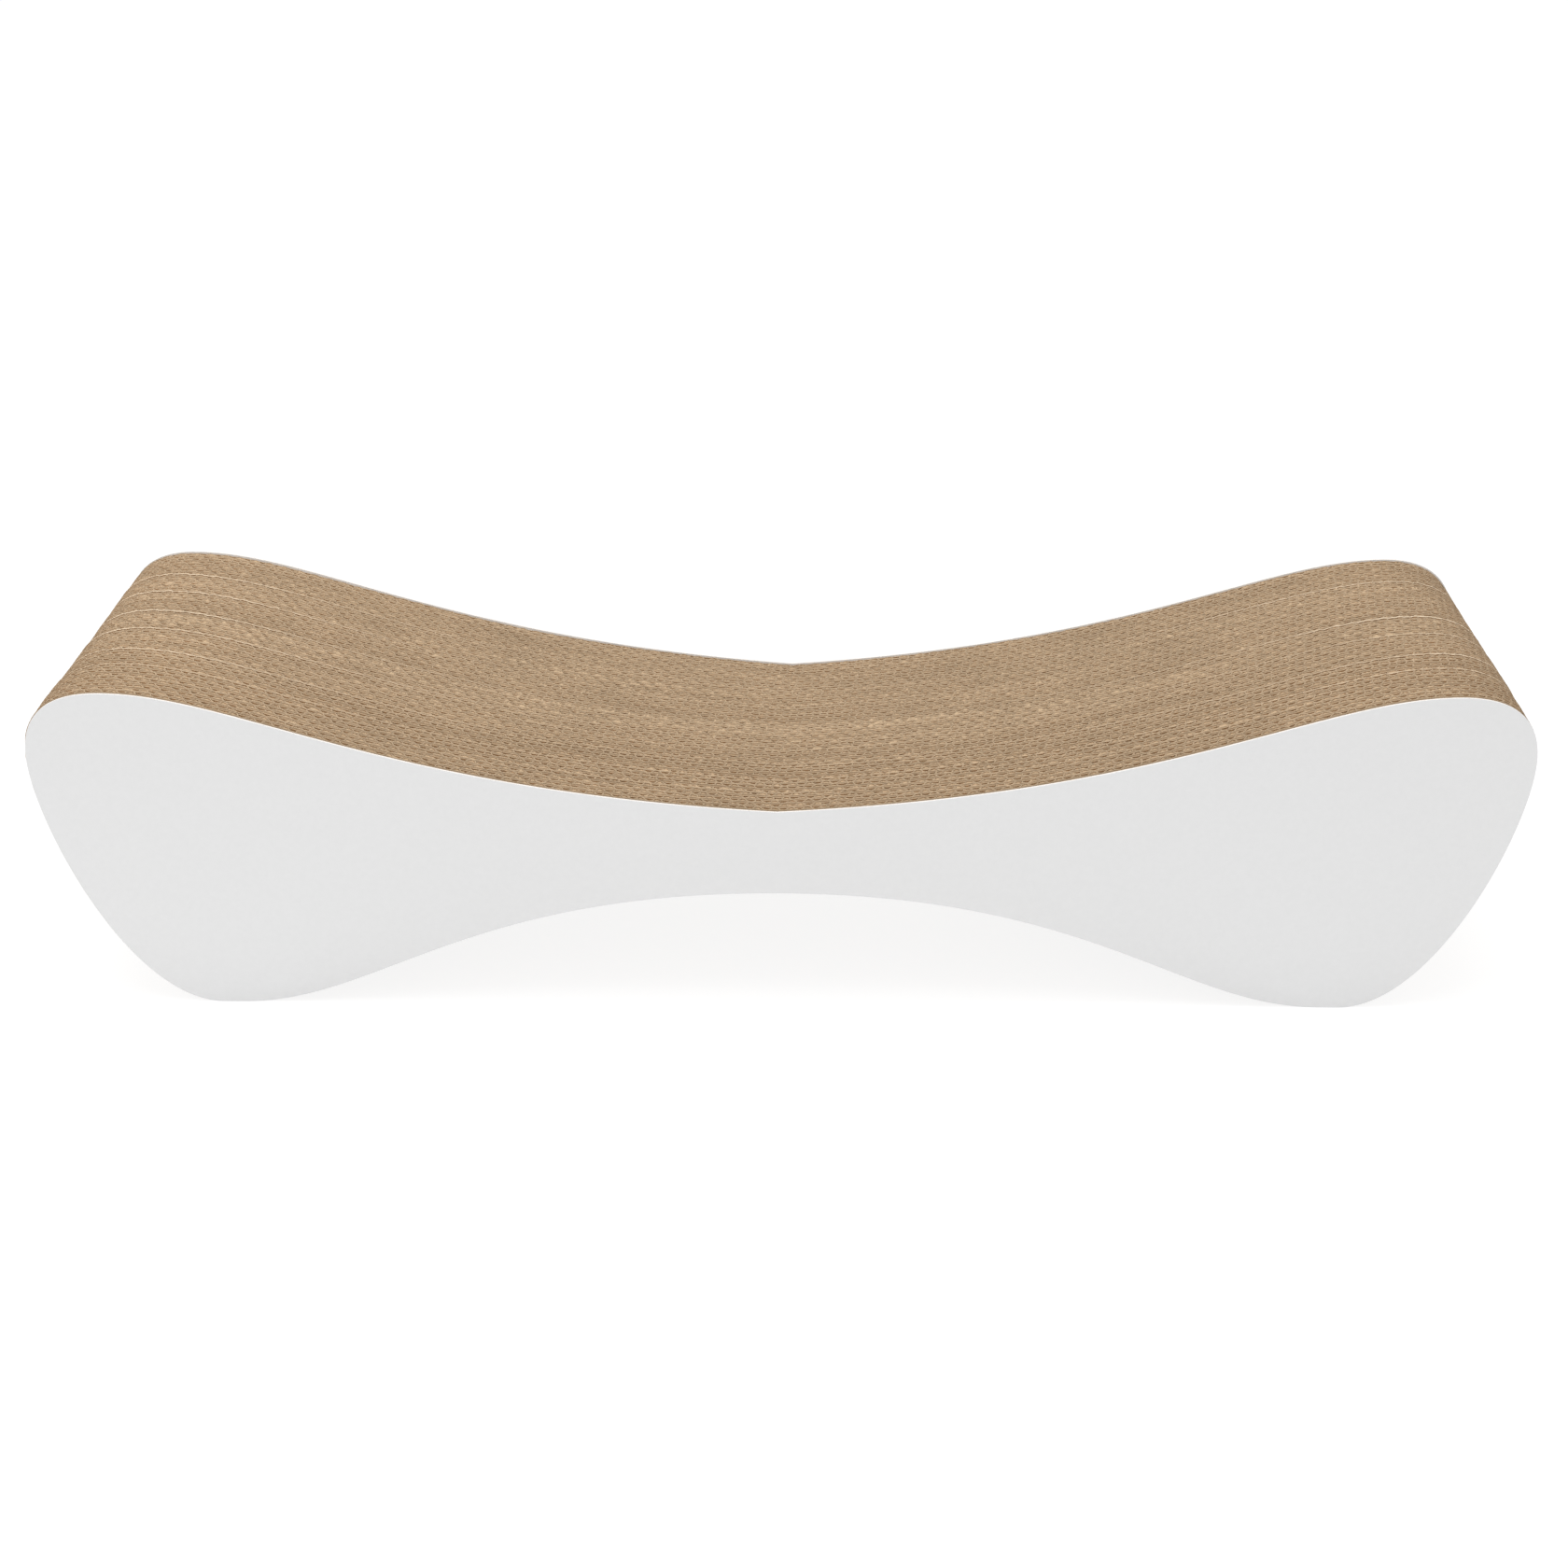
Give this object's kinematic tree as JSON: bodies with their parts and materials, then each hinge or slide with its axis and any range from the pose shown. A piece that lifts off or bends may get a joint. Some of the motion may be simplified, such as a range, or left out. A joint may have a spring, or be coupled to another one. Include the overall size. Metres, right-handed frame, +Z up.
{
  "type": "cat scratcher lounge",
  "caption": "Bow-tie shaped cat scratcher lounge: upright corrugated boards glued side by side between two white cover boards, with a dip on top to lie in.",
  "frame": {"origin": "centre of the underside of the lounge's bounding box, on the floor between its two feet", "axes": "+X along the lounge, +Y from the front cover to the rear cover, +Z up from the floor"},
  "size_m": [0.7011, 0.1974, 0.163],
  "materials": {
    "kraft_corrugated_board": "raw die-cut kraft board, matt, open flutes on every cut edge",
    "white_cover_board": "smooth white paper face, matt"
  },
  "bodies": {
    "root": {"front_cover": "white_cover_board", "corrugated_board_01": "kraft_corrugated_board", "corrugated_board_02": "kraft_corrugated_board", "corrugated_board_03": "kraft_corrugated_board", "corrugated_board_04": "kraft_corrugated_board", "corrugated_board_05": "kraft_corrugated_board", "corrugated_board_06": "kraft_corrugated_board", "corrugated_board_07": "kraft_corrugated_board", "corrugated_board_08": "kraft_corrugated_board", "corrugated_board_09": "kraft_corrugated_board", "corrugated_board_10": "kraft_corrugated_board", "corrugated_board_11": "kraft_corrugated_board", "corrugated_board_12": "kraft_corrugated_board", "corrugated_board_13": "kraft_corrugated_board", "corrugated_board_14": "kraft_corrugated_board", "corrugated_board_15": "kraft_corrugated_board", "corrugated_board_16": "kraft_corrugated_board", "corrugated_board_17": "kraft_corrugated_board", "corrugated_board_18": "kraft_corrugated_board", "corrugated_board_19": "kraft_corrugated_board", "corrugated_board_20": "kraft_corrugated_board", "corrugated_board_21": "kraft_corrugated_board", "corrugated_board_22": "kraft_corrugated_board", "corrugated_board_23": "kraft_corrugated_board", "corrugated_board_24": "kraft_corrugated_board", "corrugated_board_25": "kraft_corrugated_board", "corrugated_board_26": "kraft_corrugated_board", "corrugated_board_27": "kraft_corrugated_board", "corrugated_board_28": "kraft_corrugated_board", "corrugated_board_29": "kraft_corrugated_board", "corrugated_board_30": "kraft_corrugated_board", "corrugated_board_31": "kraft_corrugated_board", "corrugated_board_32": "kraft_corrugated_board", "corrugated_board_33": "kraft_corrugated_board", "corrugated_board_34": "kraft_corrugated_board", "corrugated_board_35": "kraft_corrugated_board", "corrugated_board_36": "kraft_corrugated_board", "corrugated_board_37": "kraft_corrugated_board", "corrugated_board_38": "kraft_corrugated_board", "corrugated_board_39": "kraft_corrugated_board", "corrugated_board_40": "kraft_corrugated_board", "corrugated_board_41": "kraft_corrugated_board", "corrugated_board_42": "kraft_corrugated_board", "corrugated_board_43": "kraft_corrugated_board", "corrugated_board_44": "kraft_corrugated_board", "corrugated_board_45": "kraft_corrugated_board", "corrugated_board_46": "kraft_corrugated_board", "corrugated_board_47": "kraft_corrugated_board", "corrugated_board_48": "kraft_corrugated_board", "rear_cover": "white_cover_board"}
  },
  "joints": []
}
